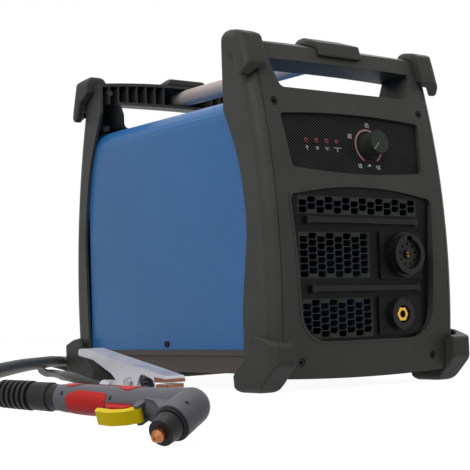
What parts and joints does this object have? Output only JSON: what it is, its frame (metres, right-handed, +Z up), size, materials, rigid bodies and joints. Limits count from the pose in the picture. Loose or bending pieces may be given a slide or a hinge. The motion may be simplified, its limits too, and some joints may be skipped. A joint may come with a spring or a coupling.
{
  "type": "portable plasma cutter",
  "caption": "Carry-frame plasma cutter with a bumpered plastic frame, blue cover, current dial, torch and earth sockets, hand torch and spring earth clamp.",
  "frame": {"origin": "on the floor under the middle of the unit", "axes": "+X to the right seen from the front, -Y out of the front face, +Z up"},
  "size_m": [0.9133, 1.177, 0.4298],
  "materials": {
    "frame": "matte plastic",
    "bumper": "rubber",
    "cover_paint": "painted metal",
    "tube": "painted metal",
    "pan": "painted metal",
    "screw_steel": "brushed steel",
    "grille_plastic": "matte plastic",
    "panel": "gloss plastic",
    "knob": "matte plastic",
    "potentiometer": "brushed steel",
    "board": "gloss plastic",
    "lights": "gloss plastic",
    "socket_black": "gloss plastic",
    "brass": "brass",
    "fan": "matte plastic",
    "rocker": "gloss plastic",
    "regulator": "aluminium",
    "gauge": "chrome",
    "valve": "brass",
    "pillar": "brass",
    "capacitor": "aluminium",
    "sink": "aluminium",
    "transformer": "cast iron",
    "copper": "brass",
    "torch_grey": "matte plastic",
    "torch_red": "gloss plastic",
    "torch_yellow": "gloss plastic",
    "torch_black": "matte plastic",
    "copper_tip": "brass",
    "boot": "rubber",
    "cord": "rubber",
    "clamp_steel": "chrome",
    "steel": "brushed steel"
  },
  "bodies": {
    "case": {"front_frame": "frame", "rear_frame": "frame", "top_bumper_front_left": "bumper", "top_bumper_front_right": "bumper", "top_bumper_rear_left": "bumper", "top_bumper_rear_right": "bumper", "foot_bumper_front_left": "bumper", "foot_bumper_front_right": "bumper", "foot_bumper_rear_left": "bumper", "foot_bumper_rear_right": "bumper", "front_saddle_cap": "bumper", "rear_saddle_cap": "bumper", "carry_tube": "tube", "cover": "cover_paint", "base_pan": "pan", "frame_screws": "screw_steel", "cover_screws": "screw_steel", "front_grille": "grille_plastic", "control_panel": "panel", "knob_potentiometer": "potentiometer", "control_board": "board", "indicator_lights": "lights", "torch_socket": "socket_black", "torch_socket_insert": "socket_black", "earth_socket": "socket_black", "earth_socket_contact": "brass", "rear_panel": "grille_plastic", "fan_housing": "fan", "mains_switch_housing": "socket_black", "mains_gland": "torch_black", "air_regulator": "regulator", "pressure_gauge": "gauge", "solenoid_valve": "valve", "board_pillars": "pillar", "main_board": "board", "capacitors": "capacitor", "heat_sink": "sink", "main_transformer": "transformer", "output_choke": "copper", "torch_handle_left": "torch_grey", "torch_handle_right": "torch_grey", "torch_grips": "torch_red", "torch_cap": "torch_black", "torch_tip": "copper_tip", "torch_boot": "boot", "torch_lead": "cord", "torch_lead_coil": "cord", "torch_plug": "socket_black", "clamp_lower": "clamp_steel", "clamp_pin_and_spring": "steel", "earth_cable": "cord", "earth_cable_coil": "cord", "earth_plug": "socket_black"},
    "knob": {"control_knob": "knob"},
    "fan": {"fan_rotor": "fan"},
    "rocker": {"mains_switch_rocker": "rocker"},
    "regulator_knob": {"air_regulator_knob": "torch_black"},
    "trigger": {"torch_trigger": "torch_red"},
    "safety_lever": {"torch_safety_lever": "torch_yellow"},
    "clamp_arm": {"clamp_upper": "clamp_steel"}
  },
  "joints": [
    {"name": "current_knob_turn", "type": "hinge", "parent": "case", "child": "knob", "pos_m": [0.025, -0.20579, 0.29], "axis": [0, -0.9858, 0.168], "range_deg": [-270, 0]},
    {"name": "fan_spin", "type": "hinge", "parent": "case", "child": "fan", "pos_m": [-0.043, 0.2, 0.15], "axis": [0, 1, 0], "continuous": true},
    {"name": "mains_rocker", "type": "hinge", "parent": "case", "child": "rocker", "pos_m": [0.052, 0.214, 0.095], "axis": [1, 0, 0], "range_deg": [0, 16]},
    {"name": "regulator_knob_turn", "type": "hinge", "parent": "case", "child": "regulator_knob", "pos_m": [0.07, 0.23, 0.15], "axis": [0, 1, 0], "range_deg": [0, 1080]},
    {"name": "torch_trigger_press", "type": "slide", "parent": "case", "child": "trigger", "axis": [0.8611, 0.3442, 0.3741], "range_m": [0, 0.002], "stiffness_N_per_m": 900},
    {"name": "safety_lever_swing", "type": "hinge", "parent": "case", "child": "safety_lever", "pos_m": [-0.55553, -0.58678, 0.02076], "axis": [-0.3259, -0.191, 0.9259], "range_deg": [0, 25], "stiffness_Nm_per_rad": 0.08},
    {"name": "clamp_squeeze", "type": "hinge", "parent": "case", "child": "clamp_arm", "pos_m": [-0.428, -0.384, 0.032], "axis": [-0.9925, -0.1219, 0], "range_deg": [0, 18], "stiffness_Nm_per_rad": 1.5}
  ]
}
